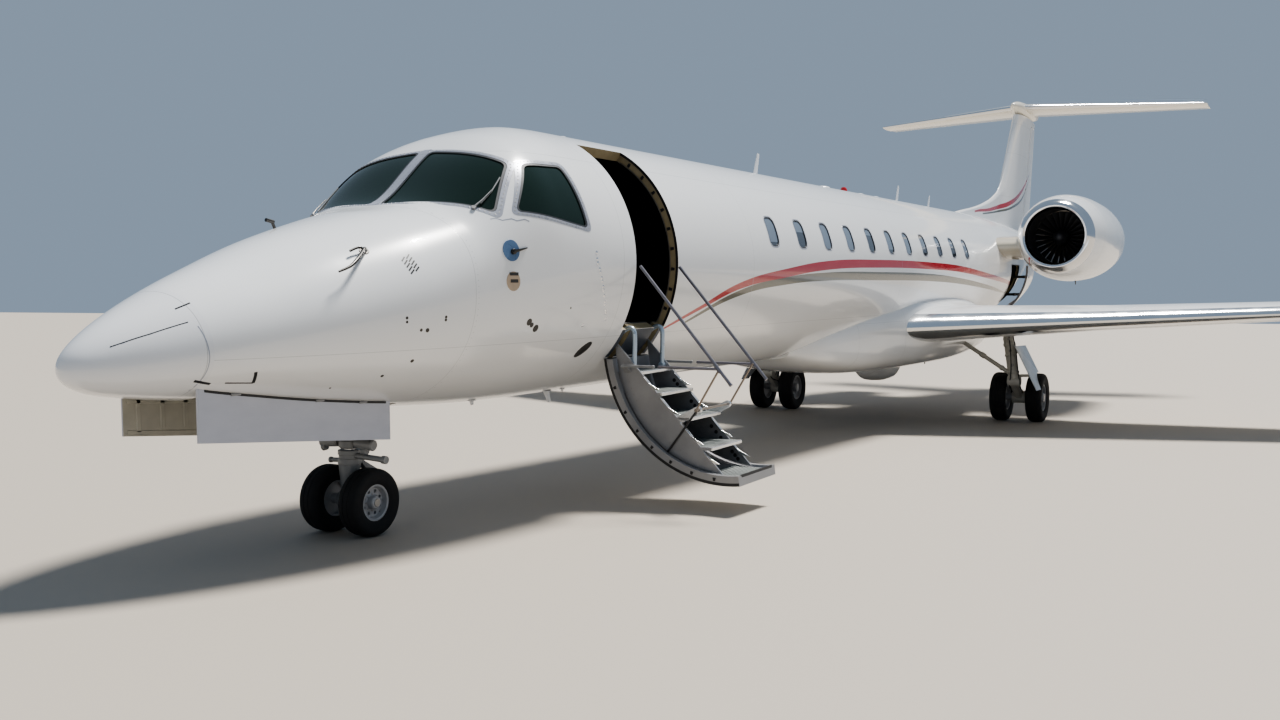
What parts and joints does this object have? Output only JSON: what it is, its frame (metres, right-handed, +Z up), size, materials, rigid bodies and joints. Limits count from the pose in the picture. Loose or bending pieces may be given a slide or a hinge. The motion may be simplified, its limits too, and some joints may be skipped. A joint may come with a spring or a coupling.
{
  "type": "business jet",
  "caption": "Business jet with swept wings, winglets, rear-mounted fan engines and a T-tail, standing on its landing gear with the airstair and baggage doors open.",
  "frame": {"origin": "on the ground, under the middle of the aircraft's overall length and width", "axes": "+Y aft along the fuselage, +X to port, +Z up"},
  "size_m": [21.1708, 26.1855, 6.6143],
  "materials": {
    "cabin_paint": "gloss",
    "wing_paint": "satin",
    "composite_paint": "gloss",
    "tail_paint": "gloss",
    "glazing": "gloss",
    "gear_metal": "satin",
    "wheel_metal": "satin",
    "tyre": "matte",
    "fan_metal": "satin",
    "core_metal": "satin",
    "stair_metal": "satin",
    "rail_metal": "satin",
    "floor_panel": "matte",
    "panel_plastic": "matte",
    "seat_leather": "satin",
    "cabinet_wood": "satin"
  },
  "bodies": {
    "airframe": {"radome": "composite_paint", "nose_section": "cabin_paint", "cockpit_section": "cabin_paint", "forward_cabin": "cabin_paint", "mid_cabin": "cabin_paint", "aft_cabin": "cabin_paint", "baggage_section": "cabin_paint", "tail_cone": "cabin_paint", "baggage_door": "cabin_paint", "windshield_port": "glazing", "windshield_starboard": "glazing", "cockpit_window_port": "glazing", "cockpit_window_starboard": "glazing", "cabin_windows_port": "glazing", "cabin_windows_starboard": "glazing", "cabin_floor": "floor_panel", "instrument_panel": "panel_plastic", "pilot_seats": "seat_leather", "entry_cabinet": "cabinet_wood", "wing_fairing": "composite_paint", "winglet_port": "composite_paint", "winglet_starboard": "composite_paint", "fin": "composite_paint", "nacelle_port": "composite_paint", "nacelle_starboard": "composite_paint", "pylon_port": "composite_paint", "pylon_starboard": "composite_paint", "wing_port": "wing_paint", "wing_starboard": "wing_paint", "flap_port": "wing_paint", "flap_starboard": "wing_paint", "tailplane": "tail_paint", "engine_core_port": "core_metal", "engine_core_starboard": "core_metal", "nose_door_port": "composite_paint", "nose_door_starboard": "composite_paint", "nose_leg": "gear_metal", "main_leg_port": "gear_metal", "main_leg_starboard": "gear_metal"},
    "nose_steering_fork": {"nose_fork": "gear_metal"},
    "nose_wheel_set": {"nose_wheels": "wheel_metal", "nose_tyre_outer": "tyre", "nose_tyre_inner": "tyre"},
    "port_wheel_set": {"main_port_wheels": "wheel_metal", "main_port_tyre_outer": "tyre", "main_port_tyre_inner": "tyre"},
    "starboard_wheel_set": {"main_starboard_wheels": "wheel_metal", "main_starboard_tyre_outer": "tyre", "main_starboard_tyre_inner": "tyre"},
    "port_fan": {"fan_port": "fan_metal"},
    "starboard_fan": {"fan_starboard": "fan_metal"},
    "airstair": {"airstair_door": "stair_metal"},
    "stair_posts": {"handrail_posts": "rail_metal"},
    "stair_rails": {"handrail_forward": "rail_metal", "handrail_aft": "rail_metal"},
    "port_aileron": {"aileron_port": "wing_paint"},
    "starboard_aileron": {"aileron_starboard": "wing_paint"},
    "port_elevator": {"elevator_port": "tail_paint"},
    "starboard_elevator": {"elevator_starboard": "tail_paint"},
    "rudder_panel": {"rudder": "composite_paint"}
  },
  "joints": [
    {"name": "nose_steering", "type": "hinge", "parent": "airframe", "child": "nose_steering_fork", "pos_m": [0, -10.8758, 0.6], "axis": [0, 0, 1], "range_deg": [-71, 71]},
    {"name": "nose_wheel_spin", "type": "hinge", "parent": "nose_steering_fork", "child": "nose_wheel_set", "pos_m": [0, -10.8758, 0.24445], "axis": [1, 0, 0], "continuous": true},
    {"name": "port_wheel_spin", "type": "hinge", "parent": "airframe", "child": "port_wheel_set", "pos_m": [2.05, 1.5542, 0.37631], "axis": [1, 0, 0], "continuous": true},
    {"name": "starboard_wheel_spin", "type": "hinge", "parent": "airframe", "child": "starboard_wheel_set", "pos_m": [-2.05, 1.5542, 0.37631], "axis": [1, 0, 0], "continuous": true},
    {"name": "port_fan_spin", "type": "hinge", "parent": "airframe", "child": "port_fan", "pos_m": [2.06, 4.6417, 3.05935], "axis": [0, 0.9996, 0.0296], "continuous": true},
    {"name": "starboard_fan_spin", "type": "hinge", "parent": "airframe", "child": "starboard_fan", "pos_m": [-2.06, 4.6417, 3.05935], "axis": [0, 0.9996, 0.0296], "continuous": true},
    {"name": "airstair_hinge", "type": "hinge", "parent": "airframe", "child": "airstair", "pos_m": [0.857, -8.35982, 1.3986], "axis": [0, -0.9996, -0.0296], "range_deg": [0, 143.5]},
    {"name": "stair_post_pivot", "type": "hinge", "parent": "airstair", "child": "stair_posts", "pos_m": [1.669, -8.34318, 0.83685], "axis": [0, -0.9996, -0.0296], "range_deg": [-112.5, 0]},
    {"name": "stair_rail_pivot", "type": "hinge", "parent": "stair_posts", "child": "stair_rails", "pos_m": [1.882, -8.35343, 1.1827], "axis": [0, -0.9996, -0.0296], "range_deg": [0, 112.5]},
    {"name": "port_aileron_hinge", "type": "hinge", "parent": "airframe", "child": "port_aileron", "pos_m": [8.085, 3.43234, 1.88], "axis": [0.9593, 0.2789, 0.0446], "range_deg": [-25, 25]},
    {"name": "starboard_aileron_hinge", "type": "hinge", "parent": "airframe", "child": "starboard_aileron", "pos_m": [-8.085, 3.43234, 1.88], "axis": [0.9593, -0.2789, -0.0446], "range_deg": [-25, 25]},
    {"name": "port_elevator_hinge", "type": "hinge", "parent": "airframe", "child": "port_elevator", "pos_m": [1.91, 12.19978, 6.49969], "axis": [0.959, 0.2832, 0.0084], "range_deg": [-15, 25]},
    {"name": "starboard_elevator_hinge", "type": "hinge", "parent": "airframe", "child": "starboard_elevator", "pos_m": [-1.91, 12.19978, 6.49969], "axis": [0.959, -0.2832, -0.0084], "range_deg": [-15, 25]},
    {"name": "rudder_hinge", "type": "hinge", "parent": "airframe", "child": "rudder_panel", "pos_m": [0, 11.02366, 4.91416], "axis": [0, 0.3355, 0.942], "range_deg": [-20, 20]}
  ],
  "couplings": [
    {"joint": "stair_post_pivot", "follows": "airstair_hinge", "ratio": -0.782},
    {"joint": "stair_rail_pivot", "follows": "airstair_hinge", "ratio": 0.782},
    {"joint": "starboard_aileron_hinge", "follows": "port_aileron_hinge", "ratio": -1},
    {"joint": "starboard_elevator_hinge", "follows": "port_elevator_hinge", "ratio": 1}
  ]
}
